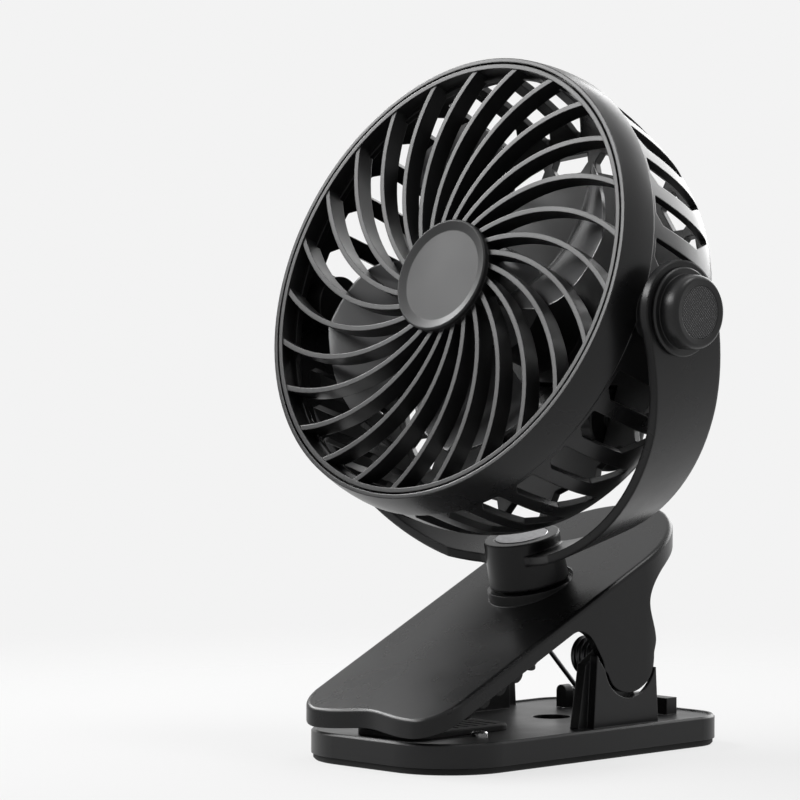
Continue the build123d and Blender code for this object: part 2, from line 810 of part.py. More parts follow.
# ---- yoke: bent strap with the swivel post ----
waist_end = yoke_rear + bolt_head_room
post_flat = post_radius - yoke_waist_rim
with BuildPart() as arm_sides:
    with BuildSketch(yoke_side_plane):
        Circle(yoke_end_radius)
        Polygon(
            (-yoke_end_radius, 0),
            (-yoke_front, -yoke_full),
            (-yoke_front, -outer_drop - 1),
            (yoke_rear, -outer_drop - 1),
            (yoke_rear, -yoke_full),
            (yoke_end_radius, 0),
            align=None,
        )
    extrude(amount=outer_radius + 1)
    with BuildSketch(yoke_side_plane):
        Circle(yoke_left_end)
        Polygon(
            (-yoke_left_end, 0),
            (-yoke_front, -yoke_left_full),
            (-yoke_front, -outer_drop - 1),
            (yoke_rear, -outer_drop - 1),
            (yoke_rear, -yoke_left_full),
            (yoke_left_end, 0),
            align=None,
        )
    extrude(amount=-outer_radius - 1)
with BuildPart() as yoke:
    with BuildSketch(yoke_front_plane):
        with BuildLine():
            EllipticalCenterArc((0, 0), outer_radius, outer_drop, 180, arc_size=180)
            Polyline(
                (outer_radius, 0),
                (outer_radius, yoke_end_radius),
                (yoke_inner_radius, yoke_end_radius),
                (yoke_inner_radius, 0),
            )
            EllipticalCenterArc((0, 0), yoke_inner_radius, yoke_inner_drop, 180, arc_size=180)
            Polyline(
                (-yoke_inner_radius, 0),
                (-yoke_inner_radius, yoke_end_radius),
                (-outer_radius, yoke_end_radius),
                (-outer_radius, 0),
            )
        make_face()
    extrude(amount=yoke_rear + yoke_end_radius, both=True)
    add(arm_sides, mode=Mode.INTERSECT)
    with BuildSketch(post_plane(outer_drop + 1)):
        for side in (-1, 1):
            with BuildLine():
                Polyline(
                    (-yoke_waist_reach, side * (waist_end + 1)),
                    (-yoke_waist_reach, side * waist_end),
                    (-post_flat, side * yoke_waist),
                    (post_flat, side * yoke_waist),
                    (yoke_waist_reach, side * waist_end),
                    (yoke_waist_reach, side * (waist_end + 1)),
                    close=True,
                )
            make_face()
    extrude(amount=cut_over, mode=Mode.SUBTRACT)
    with BuildSketch(post_plane(post_bottom)):
        Circle(post_radius)
    extrude(
        amount=post_bottom - post_top,
        taper=degrees(atan2(post_radius - post_top_radius, post_bottom - post_top)),
    )
    with BuildSketch(post_plane(post_top)):
        Circle(cap_radius + running_fit)
    extrude(amount=-cap_height, mode=Mode.SUBTRACT)
    with BuildSketch(post_plane(post_top + cap_height)):
        Circle(bolt_head_radius + bolt_head_room)
    extrude(amount=-bolt_head_height - bolt_cover, mode=Mode.SUBTRACT)
    with BuildSketch(post_plane(post_bottom)):
        Circle(bolt_radius + running_fit)
    extrude(amount=post_bottom - post_top, mode=Mode.SUBTRACT)
    with BuildSketch(yoke_side_plane):
        Circle(spigot_radius + running_fit)
    extrude(amount=outer_radius + 1, both=True, mode=Mode.SUBTRACT)
export(yoke, "yoke")

# ---- silver cap in the top of the post ----
with BuildPart() as post_cap:
    with BuildSketch(post_plane(post_top + cap_height)):
        Circle(cap_radius)
    extrude(amount=cap_height + cap_proud)
    chamfer(post_cap.edges().sort_by(Axis(tilt_pivot, post_up))[-1], cap_chamfer)
export(post_cap, "post_cap")

# ---- swivel bolt, nut and washers ----
bolt_seat = post_top + cap_height + bolt_cover + bolt_head_height
with BuildPart() as swivel_bolt:
    with BuildSketch(post_plane(bolt_seat)):
        Circle(bolt_head_radius)
    extrude(amount=bolt_head_height)
    with BuildSketch(post_plane(bolt_seat - bolt_head_height)):
        RegularPolygon(bolt_socket_radius, 6)
    extrude(amount=-bolt_socket_depth, mode=Mode.SUBTRACT)
    with BuildSketch(post_plane(bolt_end)):
        Circle(bolt_radius)
    extrude(amount=bolt_end - bolt_seat)
export(swivel_bolt, "swivel_bolt")

washer_low = under_boss_end + face_gap + washer_height
with BuildPart() as swivel_nut:
    with BuildSketch(post_plane(washer_low + nut_height)):
        RegularPolygon(nut_across / 2, 6, major_radius=False)
        Circle(bolt_radius + running_fit, mode=Mode.SUBTRACT)
    extrude(amount=nut_height)
export(swivel_nut, "swivel_nut")

with BuildPart() as swivel_washers:
    with BuildSketch(post_plane(washer_low)):
        Circle(washer_radius)
        Circle(bolt_radius + running_fit, mode=Mode.SUBTRACT)
    extrude(amount=washer_height)
    with BuildSketch(post_plane(collar_top - face_gap)):
        Circle(neck_radius)
        Circle(bolt_radius + running_fit, mode=Mode.SUBTRACT)
    extrude(amount=collar_top - face_gap - post_bottom)
export(swivel_washers, "swivel_washers")

# ---- housing drum: front band, slotted barrel, trunnions and screw lugs ----
inner_front = front_radius - drum_wall
lug_middle = back_radius - drum_wall - lug_radius - lug_reach / 2
seat_front = groove_depth + seat_height
seat_back = seat_front + seat_thickness
with BuildPart() as housing_drum:
    with BuildSketch(head_section):
        with BuildLine():
            Spline([(r, s) for s, r in shoulder[:-1]])
            Line((shoulder[-2][1], shoulder[-2][0]), (front_radius, barrel_front))
            Polyline(
                (front_radius, barrel_front),
                (inner_front, barrel_front),
                (inner_front, seat_back),
                (seat_radius, seat_back),
                (seat_radius, seat_front),
                (lip_inner, seat_front),
                (lip_inner, 0),
                (ring_radius, 0),
            )
        make_face()
    revolve(axis=head_axis)
    for depth, radius in barrel:
        with BuildSketch(barrel_plane(depth)):
            Circle(radius)
    loft()
    for depth, radius in barrel:
        with BuildSketch(barrel_plane(depth)):
            Circle(radius - drum_wall)
    loft(mode=Mode.SUBTRACT)
    for k in range(slot_count):
        turn = radians(slot_first + k * 360 / slot_count)
        outward = Vector(cos(turn), 0, 0) + head_up * sin(turn)
        around = Vector(-sin(turn), 0, 0) + head_up * cos(turn)
        beside_boss = abs(front_radius * sin(turn) + axis_rise)
        if beside_boss > boss_radius + slot_front_width / 2:
            slot_plane = Plane(origin=back_centre, x_dir=around * -1, z_dir=outward)
            with BuildSketch(slot_plane) as slot:
                with BuildLine():
                    Polyline(
                        (-slot_front_width / 2, slot_front),
                        (slot_front_width / 2 - slot_cut_width, slot_front),
                        (slot_front_width / 2, slot_front + slot_cut_length),
                        (slot_back_width / 2, slot_low_back),
                        (-slot_back_width / 2, slot_high_back),
                        close=True,
                    )
                make_face()
                fillet(slot.vertices(), slot_corner)
            extrude(amount=2 * ring_radius, mode=Mode.SUBTRACT)
    for side in (-1, 1):
        boss_plane = Plane(origin=tilt_pivot, x_dir=(0, 1, 0), z_dir=(side, 0, 0))
        with BuildSketch(boss_plane.offset(boss_inner_x)):
            Circle(boss_radius)
        extrude(amount=boss_face_x - boss_inner_x)
        with BuildSketch(boss_plane.offset(boss_face_x)):
            Circle(spigot_radius)
        extrude(amount=outer_radius - spigot_short - boss_face_x)
        with BuildSketch(boss_plane.offset(insert_x)):
            Circle(stud_radius + running_fit)
        extrude(amount=outer_radius - insert_x, mode=Mode.SUBTRACT)
        with BuildSketch(boss_plane.offset(insert_x)):
            Circle(insert_radius)
        extrude(amount=insert_length, mode=Mode.SUBTRACT)
    with BuildSketch(back_plane.offset(-drum_end)):
        for angle in housing_screw_angles:
            with Locations(polar(lug_middle, angle)):
                Circle(lug_radius)
            with Locations(Location(polar(lug_middle + lug_radius / 2 + lug_reach, angle), angle)):
                Rectangle(lug_radius + 2 * lug_reach, 2 * lug_radius)
    extrude(amount=lug_length)
    with BuildSketch(back_plane.offset(-drum_end)):
        with Locations([polar(lug_middle, angle) for angle in housing_screw_angles]):
            Circle(screw_radius + running_fit)
    extrude(amount=housing_screw_length - cover_thickness + screw_end_gap, mode=Mode.SUBTRACT)
export(housing_drum, "housing_drum")

with BuildPart() as thread_inserts:
    for side in (-1, 1):
        boss_plane = Plane(origin=tilt_pivot, x_dir=(0, 1, 0), z_dir=(side, 0, 0))
        with BuildSketch(boss_plane.offset(insert_x)):
            Circle(insert_radius)
            Circle(stud_radius + running_fit, mode=Mode.SUBTRACT)
        extrude(amount=insert_length)
export(thread_inserts, "thread_inserts")

with BuildPart() as tilt_washers:
    for side in (-1, 1):
        boss_plane = Plane(origin=tilt_pivot, x_dir=(0, 1, 0), z_dir=(side, 0, 0))
        with BuildSketch(boss_plane.offset(boss_face_x)):
            Circle(tilt_washer_radius)
            Circle(spigot_radius + running_fit, mode=Mode.SUBTRACT)
        extrude(amount=tilt_washer_height)
export(tilt_washers, "tilt_washers")


# ---- front grille: ring, curved ribs and hub ring ----
def rib_corner(radius, offset):
    """Point where a rib's edge crosses the circle of this radius, for the rib whose tip is at 0."""
    arc = rib_arc_radius + offset
    reach = (radius**2 + rib_centre_radius**2 - arc**2) / (2 * radius * rib_centre_radius)
    return polar(radius, degrees(acos(reach)) - rib_centre_lag)


hub_inner_radius = grille_hub_radius - grille_hub_wall
with BuildSketch() as one_rib:
    with BuildLine():
        hub_end = grille_hub_radius - grille_hub_wall / 2
        tip_end = ring_outer - ring_face / 2
        middle = (hub_end + tip_end) / 2
        left = rib_corner(tip_end, rib_face / 2), rib_corner(hub_end, rib_face / 2)
        right = rib_corner(tip_end, -rib_face / 2), rib_corner(hub_end, -rib_face / 2)
        ThreePointArc(left[0], rib_corner(middle, rib_face / 2), left[1])
        Line(left[1], right[1])
        ThreePointArc(right[1], rib_corner(middle, -rib_face / 2), right[0])
        Line(right[0], left[0])
    make_face()

with BuildPart() as front_grille:
    with BuildSketch(ring_plane.offset(-rib_back)):
        with PolarLocations(0, rib_count, start_angle=rib_first):
            add(one_rib.sketch)
    extrude(amount=-rib_depth)
    with BuildSketch(ring_plane.offset(-seat_front)):
        Circle(ring_radius)
        Circle(seat_radius - wide_gap, mode=Mode.SUBTRACT)
    extrude(amount=-rib_depth, mode=Mode.SUBTRACT)
    with BuildSketch(head_section):
        with BuildLine():
            Polyline(
                (ring_outer, 0),
                (ring_outer, groove_depth),
                (lip_inner - running_fit, groove_depth),
                (lip_inner - running_fit, seat_front),
                (ring_outer - ring_face, seat_front),
                (ring_outer - ring_face, 0),
                close=True,
            )
        make_face()
        with BuildLine():
            Polyline(
                (grille_hub_radius, hub_front),
                (grille_hub_radius, hub_bottom),
                (hub_inner_radius, hub_bottom),
                (hub_inner_radius, hub_front),
                close=True,
            )
        make_face()
    revolve(axis=head_axis)
export(front_grille, "front_grille")

# ---- hub cap: shallow disc with a skirt, pressed into the grille's hub ----
skirt_outer = hub_inner_radius - running_fit
skirt_inner = hub_inner_radius - hub_cap_skirt_wall
with BuildPart() as hub_cap:
    with BuildSketch(head_section):
        with BuildLine():
            Polyline(
                (0, hub_cap_dish - hub_cap_rise),
                (hub_cap_flat, hub_cap_dish - hub_cap_rise),
                (grille_hub_radius - hub_cap_edge, -hub_cap_rise),
                (grille_hub_radius, hub_cap_bevel - hub_cap_rise),
                (grille_hub_radius, hub_front),
                (skirt_outer, hub_front),
                (skirt_outer, hub_cap_skirt),
                (skirt_inner, hub_cap_skirt),
                (skirt_inner, hub_cap_back),
                (0, hub_cap_back),
                close=True,
            )
        make_face()
    revolve(axis=head_axis)
export(hub_cap, "hub_cap")

# ---- impeller: four broad blades round a cup ----
cup_plane = ring_plane.offset(-impeller_front)
cup_depth = impeller_back - impeller_front
with BuildPart() as impeller:
    with BuildSketch(cup_plane):
        Circle(cup_radius)
    extrude(amount=-cup_depth)
    fillet(impeller.edges().sort_by(head_axis)[-1], cup_edge)
    for k in range(blade_count):
        for radius, chord, pitch_angle, blade_turn, depth in blade_stations:
            turn = radians(blade_tip_angle + blade_turn + k * 360 / blade_count)
            outward = Vector(cos(turn), 0, 0) + head_up * sin(turn)
            around = Vector(-sin(turn), 0, 0) + head_up * cos(turn)
            twist = radians(pitch_angle)
            chord_dir = around * cos(twist) - head_out * sin(twist)
            centre = ring_centre - head_out * depth + outward * radius
            camber = blade_camber * chord
            with BuildSketch(Plane(origin=centre, x_dir=chord_dir, z_dir=outward)):
                with BuildLine():
                    ThreePointArc((-chord / 2, 0), (0, -camber), (chord / 2, 0))
                    ThreePointArc(
                        (chord / 2, 0), (0, blade_thickness - camber), (-chord / 2, 0)
                    )
                make_face()
        loft()
    with BuildSketch(cup_plane):
        Circle(blade_tip_radius)
    extrude(amount=-cup_depth, mode=Mode.INTERSECT)
    with BuildSketch(cup_plane.offset(-cup_top)):
        Circle(cup_radius - cup_wall)
    extrude(amount=-cup_depth, mode=Mode.SUBTRACT)
    with BuildSketch(cup_plane.offset(-cup_top / 2)):
        Circle(shaft_radius + cup_boss_wall)
    extrude(amount=cup_top / 2 - cup_boss_depth)
    with BuildSketch(cup_plane):
        Circle(shaft_radius)
    extrude(amount=-cup_boss_depth, mode=Mode.SUBTRACT)
export(impeller, "impeller")

shaft_front = impeller_front + cup_boss_depth - shaft_in_cup
with BuildPart() as motor_shaft:
    with BuildSketch(ring_plane.offset(-shaft_front)):
        Circle(shaft_radius)
    extrude(amount=shaft_front - motor_front - shaft_in_motor)
export(motor_shaft, "motor_shaft")

# ---- motor ----
motor_plane = ring_plane.offset(-motor_front)
with BuildPart() as motor:
    with BuildSketch(motor_plane):
        Circle(motor_radius)
    extrude(amount=-motor_length)
    fillet(motor.edges().sort_by(head_axis)[-1], motor_edge)
    with BuildSketch(motor_plane):
        Circle(shaft_radius + motor_ring)
    extrude(amount=motor_ring_height)
    with BuildSketch(motor_plane.offset(motor_ring_height)):
        Circle(shaft_radius + running_fit)
    extrude(
        amount=-motor_ring_height - shaft_in_motor - shaft_clearance,
        mode=Mode.SUBTRACT,
    )
    with BuildSketch(ring_plane.offset(-motor_back)):
        with Locations((-motor_lug_x, 0), (motor_lug_x, 0)):
            Rectangle(*motor_lug)
    extrude(amount=-motor_lug[1])
export(motor, "motor")

# ---- rear cover: ring of openings, cell slot, motor holder and the pod's posts ----
housing_screw_places = [polar(lug_middle, angle) for angle in housing_screw_angles]
post_places = [(side * post_hole_x, v) for side in (-1, 1) for v in (post_hole_low, post_hole_high)]
hole_outer_half = hole_outer_radius - hole_middle
low_half, wide_half, high_half = cover_hole_half
hole_angles = [
    cover_hole_first + k * 360 / cover_holes
    for k in range(cover_holes)
    if cover_hole_first + k * 360 / cover_holes not in housing_screw_angles
]
with BuildPart() as rear_grille:
    with BuildSketch(back_section):
        with BuildLine():
            Polyline(
                (0, drum_end),
                (back_radius, drum_end),
                (back_radius - cover_edge[0], drum_end + cover_edge[1]),
                (back_radius - cover_back_edge, cover_back),
                (0, cover_back),
                close=True,
            )
        make_face()
    revolve(axis=back_axis)
    with BuildSketch(back_plane.offset(-drum_end)):
        for angle in hole_angles:
            with Locations(Location(polar(hole_middle, angle), angle)):
                Polygon(
                    (hole_outer_half, -high_half),
                    (hole_outer_half, high_half),
                    (0, wide_half),
                    (-hole_outer_half, low_half),
                    (-hole_outer_half, -low_half),
                    (0, -wide_half),
                    align=None,
                )
        with Locations((0, cell_v)):
            Rectangle(cell_length + 2 * cell_side_room, 2 * (cell_radius + cell_room))
    extrude(amount=-cover_thickness, mode=Mode.SUBTRACT)
    with BuildSketch(ring_plane.offset(-holder_front)):
        Circle(motor_radius + running_fit + holder_wall)
    extrude(amount=holder_front - cover_back)
    with BuildSketch(ring_plane.offset(-holder_front)):
        Circle(motor_radius + running_fit)
    extrude(amount=holder_front - motor_back - running_fit, mode=Mode.SUBTRACT)
    with BuildSketch(ring_plane.offset(-motor_back)):
        Circle(motor_radius - holder_land)
    extrude(amount=motor_back - cover_back, mode=Mode.SUBTRACT)
    with BuildSketch(back_plane.offset(-cover_back)):
        with Locations(housing_screw_places):
            Circle(screw_radius + running_fit)
    extrude(amount=cover_thickness, mode=Mode.SUBTRACT)
    with BuildSketch(back_plane.offset(-cover_back)):
        with Locations(post_places):
            Circle(pod_post_radius)
    extrude(amount=cover_back - pod_back + pod_wall)
    with BuildSketch(back_plane.offset(-pod_back + pod_wall)):
        with Locations(post_places):
            Circle(screw_radius + running_fit)
    extrude(amount=pod_screw_length - pod_wall + screw_end_gap, mode=Mode.SUBTRACT)
export(rear_grille, "rear_grille")

# ---- rear pod: shell over the motor's back, the cell and the board ----
with BuildPart() as rear_pod:
    with BuildSketch(back_plane.offset(-cover_back)):
        with Locations((0, pod_centre_v)):
            RectangleRounded(2 * pod_half_width, pod_top - pod_bottom, pod_corner)
    extrude(amount=cover_back - pod_back)
    fillet(rear_pod.faces().sort_by(head_axis)[0].edges(), pod_edge)
    with BuildSketch(back_plane.offset(-cover_back)):
        with Locations((0, pod_centre_v)):
            RectangleRounded(
                2 * (pod_half_width - pod_wall),
                pod_top - pod_bottom - 2 * pod_wall,
                pod_corner - pod_wall,
            )
    extrude(amount=cover_back - pod_back + pod_wall, mode=Mode.SUBTRACT)
    with BuildSketch(back_plane.offset(-pod_back)):
        with Locations((0, board_v)):
            Circle(button_radius + loose_fit)
        with Locations(post_places):
            Circle(screw_radius + running_fit)
    extrude(amount=pod_wall, mode=Mode.SUBTRACT)
    port_side = Plane(
        origin=back_centre
        - head_out * (board_depth + board_thickness + port_height / 2)
        + head_up * board_v,
        x_dir=head_up,
        z_dir=(1, 0, 0),
    )
    port_mouth = port_side.offset(pod_half_width)
    with BuildSketch(port_mouth):
        RectangleRounded(
            port_width + 2 * face_gap,
            port_height + 2 * face_gap,
            port_height / 2,
        )
    extrude(amount=-pod_wall, mode=Mode.SUBTRACT)
export(rear_pod, "rear_pod")

pod_screws = pan_screws(seat_plane(pod_back), post_places, pod_screw_length)
export(pod_screws, "pod_screws")

housing_screws = pan_screws(seat_plane(cover_back), housing_screw_places, housing_screw_length)
export(housing_screws, "housing_screws")

# ---- cell, board, switch and charging port ----
cell_plane = Plane(
    origin=back_centre - head_out * cell_depth + head_up * cell_v,
    x_dir=head_up,
    z_dir=(1, 0, 0),
)
with BuildPart() as battery_cell:
    with BuildSketch(cell_plane.offset(-cell_length / 2)):
        Circle(cell_radius)
    extrude(amount=cell_length)
    fillet(battery_cell.edges().filter_by(GeomType.CIRCLE), cell_edge)
    with BuildSketch(cell_plane.offset(cell_length / 2)):
        Circle(cell_tip_radius)
    extrude(amount=cell_tip)
export(battery_cell, "battery_cell")

board_centre_x = pod_half_width - pod_wall - wide_gap - board_width / 2
with BuildPart() as control_board:
    with BuildSketch(back_plane.offset(-board_depth)):
        with Locations((board_centre_x, board_v)):
            Rectangle(board_width, board_height)
    extrude(amount=-board_thickness)
    with BuildSketch(back_plane.offset(-board_depth - board_thickness)):
        for x, v, width, height in board_chips:
            with Locations((x, board_v + v)):
                Rectangle(width, height)
    extrude(amount=-chip_height)
export(control_board, "control_board")

port_face = port_mouth.offset(-port_sunk)
with BuildPart() as usb_port:
    with BuildSketch(port_face):
        RectangleRounded(port_width, port_height, port_height / 2 - running_fit)
    extrude(amount=-port_length)
    with BuildSketch(port_face):
        RectangleRounded(
            port_width - 2 * port_wall,
            port_height - 2 * port_wall,
            port_height / 2 - port_wall - running_fit,
        )
    extrude(amount=port_back - port_length, mode=Mode.SUBTRACT)
    with BuildSketch(port_face.offset(-port_length)):
        Rectangle(*port_tongue)
    extrude(amount=port_length - port_tongue_short)
export(usb_port, "usb_port")

button_foot = board_depth + board_thickness + chip_height + button_travel + button_foot_gap
button_front = pod_back + button_proud - button_head - button_travel
with BuildPart() as power_button:
    with BuildSketch(back_plane.offset(-button_foot)):
        with Locations((0, board_v)):
            Circle(button_stem_radius)
    extrude(amount=button_foot - pod_back)
    with BuildSketch(back_plane.offset(-button_front)):
        with Locations((0, board_v)):
            Circle(button_radius)
    extrude(amount=button_front - pod_back - button_proud)
    fillet(power_button.edges().sort_by(head_axis)[0], button_edge)
export(power_button, "power_button")

# ---- tilt knob with its stud, a body of revolution about the tilt axis ----
flange_top = knob_near_x + knob_flange
with BuildPart() as knob_right:
    with BuildSketch(knob_section):
        with BuildLine():
            Polyline(
                (stud_inner_x, 0),
                (stud_inner_x, stud_radius),
                (knob_near_x, stud_radius),
                (knob_near_x, knob_flange_radius),
                (flange_top - knob_flange_edge, knob_flange_radius),
                (flange_top, knob_flange_radius - knob_flange_edge),
                (flange_top, knob_body_radius),
            )
            Spline(
                (flange_top, knob_body_radius),
                (knob_face_x - knob_shoulder, knob_body_radius - knob_swell),
                (knob_face_x, knob_rim_radius),
                tangents=[(1, 0), (0.25, -1)],
            )
            Polyline(
                (knob_face_x, knob_rim_radius),
                (knob_face_x - inlay_land, inlay_radius + running_fit),
                (knob_face_x - inlay_depth, inlay_radius + running_fit),
                (knob_face_x - inlay_depth, 0),
                (stud_inner_x, 0),
            )
        make_face()
    revolve(axis=tilt_axis)
export(knob_right, "knob_right")

inlay_plane = Plane(origin=tilt_pivot, x_dir=(0, 1, 0), z_dir=(1, 0, 0))
with BuildPart() as knob_right_disc:
    with BuildSketch(inlay_plane.offset(knob_face_x - inlay_depth)):
        Circle(inlay_radius)
    extrude(amount=inlay_depth - inlay_sunk)
export(knob_right_disc, "knob_right_disc")

# ---- plain pivot screw on the side without a knob ----
pivot_face_x = knob_near_x + pivot_head
with BuildPart() as pivot_screw:
    with BuildSketch(knob_section):
        with BuildLine():
            Polyline(
                (-stud_inner_x, 0),
                (-stud_inner_x, stud_radius),
                (-knob_near_x, stud_radius),
                (-knob_near_x, pivot_head_radius),
                (-pivot_face_x + pivot_head_edge, pivot_head_radius),
                (-pivot_face_x, pivot_head_radius - pivot_head_edge),
                (-pivot_face_x, 0),
                close=True,
            )
        make_face()
    revolve(axis=tilt_axis)
    with BuildSketch(Plane.YZ.offset(-pivot_face_x)):
        with Locations((pivot_y, pivot_z)):
            Rectangle(*screw_cross)
            Rectangle(*reversed(screw_cross))
    extrude(amount=screw_cross_depth, mode=Mode.SUBTRACT)
export(pivot_screw, "pivot_screw")

outer_pieces = [base_sole, upper_jaw, yoke, housing_drum, rear_pod, power_button, knob_right]
total = Compound(children=[piece.part for piece in outer_pieces]).bounding_box()
print(f"overall {total.size.X:.1f} x {total.size.Y:.1f} x {total.size.Z:.1f} mm")
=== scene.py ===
from math import cos, radians, sin

import bpy
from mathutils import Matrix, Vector


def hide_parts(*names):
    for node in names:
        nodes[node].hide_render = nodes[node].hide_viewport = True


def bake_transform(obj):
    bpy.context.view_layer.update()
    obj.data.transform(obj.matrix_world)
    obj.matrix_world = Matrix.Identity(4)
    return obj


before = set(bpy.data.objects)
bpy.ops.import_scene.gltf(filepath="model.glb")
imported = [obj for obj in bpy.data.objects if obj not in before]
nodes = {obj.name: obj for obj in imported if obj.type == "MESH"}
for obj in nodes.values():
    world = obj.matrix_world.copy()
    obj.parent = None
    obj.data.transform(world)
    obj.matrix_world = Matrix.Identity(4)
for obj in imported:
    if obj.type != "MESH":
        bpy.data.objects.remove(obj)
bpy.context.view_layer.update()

# ---- base shell ----
# A flat shell with two towers, injection moulded in satin black plastic. Its faces pick up the
# white room as a dark grey, and a fine even grain softens every reflection.
BASE_BLACK = (0.011, 0.011, 0.0115)
GRAIN_DEPTH = 0.00004
CLOUD_SCALE = 45
NOISE_LOW = 0.3
NOISE_HIGH = 0.7
DARKEST = 0.90
LIGHTEST = 1.12


def add(tree, kind, **values):
    """Add a shader node of this kind, with each value on the input of that name."""
    node = tree.nodes.new(f"ShaderNode{kind}")
    for name, value in values.items():
        node.inputs[name.replace("_", " ")].default_value = value
    return node


def moulded(
    name, colour, rough, grain=0.25, grain_size=0.00035, cloud=0.05, edge=0.0005, gloss=0.28
):
    """Satin moulded plastic: eased edges, fine grain in the relief, slow clouds in the tone."""
    material = bpy.data.materials.new(name)
    material.use_nodes = True
    tree = material.node_tree
    shader = tree.nodes["Principled BSDF"]
    shader.inputs["Specular IOR Level"].default_value = gloss
    place = add(tree, "TexCoord")
    fine = add(tree, "TexNoise", Scale=1 / grain_size, Detail=2)
    slow = add(tree, "TexNoise", Scale=CLOUD_SCALE, Detail=4)
    relief = add(tree, "Bump", Strength=grain, Distance=GRAIN_DEPTH)
    eased = add(tree, "Bevel", Radius=edge)
    eased.samples = 6
    spread = add(
        tree,
        "MapRange",
        From_Min=NOISE_LOW,
        From_Max=NOISE_HIGH,
        To_Min=rough - cloud,
        To_Max=rough + cloud,
    )
    tone = add(tree, "Mix")
    tone.data_type = "RGBA"
    tone.inputs["A"].default_value = (*[c * DARKEST for c in colour], 1)
    tone.inputs["B"].default_value = (*[c * LIGHTEST for c in colour], 1)
    links = tree.links
    links.new(place.outputs["Object"], fine.inputs["Vector"])
    links.new(place.outputs["Object"], slow.inputs["Vector"])
    links.new(fine.outputs["Fac"], relief.inputs["Height"])
    links.new(eased.outputs["Normal"], relief.inputs["Normal"])
    links.new(slow.outputs["Fac"], spread.inputs["Value"])
    links.new(slow.outputs["Fac"], tone.inputs["Factor"])
    links.new(tone.outputs["Result"], shader.inputs["Base Color"])
    links.new(spread.outputs["Result"], shader.inputs["Roughness"])
    links.new(relief.outputs["Normal"], shader.inputs["Normal"])
    return material


def dress(names, material):
    """Give the pieces of these names this material."""
    for name in names:
        mesh = nodes[name].data
        mesh.materials.clear()
        mesh.materials.append(material)


dress(["base_plate"], moulded("base black", BASE_BLACK, 0.36, gloss=0.25))

# ---- base sole ----
# A matt black rubber sheet glued into the underside of the shell, so that the fan stands firm.
# Only its edge shows, as a darker line on the floor.
SOLE_BLACK = (0.006, 0.006, 0.006)
dress(["base_sole"], moulded("sole rubber", SOLE_BLACK, 0.75, grain=0.5, grain_size=0.0006))

# ---- grip pads ----
# Two soft black rubber pads, duller than the shells, one on the deck and one with teeth under
# the jaw. Screws hold both to the clamp.
PAD_BLACK = (0.012, 0.012, 0.012)
dress(
    ["lower_grip_pad", "upper_grip_pad"],
    moulded("pad rubber", PAD_BLACK, 0.7, grain=0.5, grain_size=0.0005),
)

# ---- hinge pins, swivel bolt and nut ----
# Plain turned steel: stub pins carry the jaw between the base's towers, and a bolt with its nut
# holds the post down on the jaw's collar.
PIN_GREY = (0.42, 0.42, 0.43)
POLISH_SCALE = 900


def steel(name, colour, rough, scratch=0.06):
    """Bare metal whose roughness varies finely, as polishing leaves it."""
    material = bpy.data.materials.new(name)
    material.use_nodes = True
    tree = material.node_tree
    shader = tree.nodes["Principled BSDF"]
    shader.inputs["Base Color"].default_value = (*colour, 1)
    shader.inputs["Metallic"].default_value = 1
    place = add(tree, "TexCoord")
    marks = add(tree, "TexNoise", Scale=POLISH_SCALE, Detail=5)
    spread = add(
        tree,
        "MapRange",
        From_Min=NOISE_LOW,
        From_Max=NOISE_HIGH,
        To_Min=rough - scratch,
        To_Max=rough + scratch,
    )
    links = tree.links
    links.new(place.outputs["Object"], marks.inputs["Vector"])
    links.new(marks.outputs["Fac"], spread.inputs["Value"])
    links.new(spread.outputs["Result"], shader.inputs["Roughness"])
    return material


dress(["hinge_pins", "swivel_bolt", "swivel_nut"], steel("pin steel", PIN_GREY, 0.3))

# ---- torsion springs ----
# Two springs wound from dark round wire sit on the hinge pins. One leg rests on the base and the
# other presses under the jaw's plate. They are copied into one fixed object, and the imported
# piece is hidden.
SPRING_DARK = (0.10, 0.10, 0.105)
springs = bpy.data.objects.new("clamp_springs", nodes["torsion_springs"].data.copy())
bpy.context.collection.objects.link(springs)
springs.data.materials.clear()
springs.data.materials.append(steel("spring steel", SPRING_DARK, 0.35))
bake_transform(springs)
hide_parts("torsion_springs")

# ---- screws ----
# Bright pan-head screws hold the grip pads. The cover, the pod and the pivot without a knob have
# dark ones.
BRIGHT_SCREW = (0.5, 0.5, 0.5)
DARK_SCREW = (0.05, 0.05, 0.05)
dress(["lower_pad_screws", "upper_pad_screws"], steel("bright screws", BRIGHT_SCREW, 0.25))
dress(["housing_screws", "pod_screws", "pivot_screw"], steel("dark screws", DARK_SCREW, 0.35))

# ---- upper jaw ----
# One deep moulding in satin black. Its colour is painted darker than the base's black, as painted
# shade for the head's shadow on it. Its plate and skirts show soft window-like reflections, with
# a bright line where the plate's edge is rounded.
# Darker than the base's black: painted shade for the head's shadow on the jaw.
JAW_BLACK_PAINTED_SHADE = (0.007, 0.007, 0.0073)
dress(["upper_jaw"], moulded("jaw black with painted shade", JAW_BLACK_PAINTED_SHADE, 0.28, gloss=0.22))

# ---- yoke and post ----
# The bent strap and the post are one moulding, with well rounded edges. A satin metal disc closes
# the top of the post.
YOKE_BLACK = (0.009, 0.009, 0.0095)
CAP_SILVER = (0.33, 0.33, 0.34)
dress(["yoke"], moulded("yoke black", YOKE_BLACK, 0.30, edge=0.0011, gloss=0.2))
dress(["post_cap"], steel("silver cap", CAP_SILVER, 0.36))

# ---- swivel and tilt washers ----
# Dull black washers: nylon ones above and below the jaw's collar, under the post and over the
# nut, and rubber ones between the head and the yoke at both pivots.
WASHER_BLACK = (0.004, 0.004, 0.004)
dress(["swivel_washers", "tilt_washers"], moulded("nylon", WASHER_BLACK, 0.6))

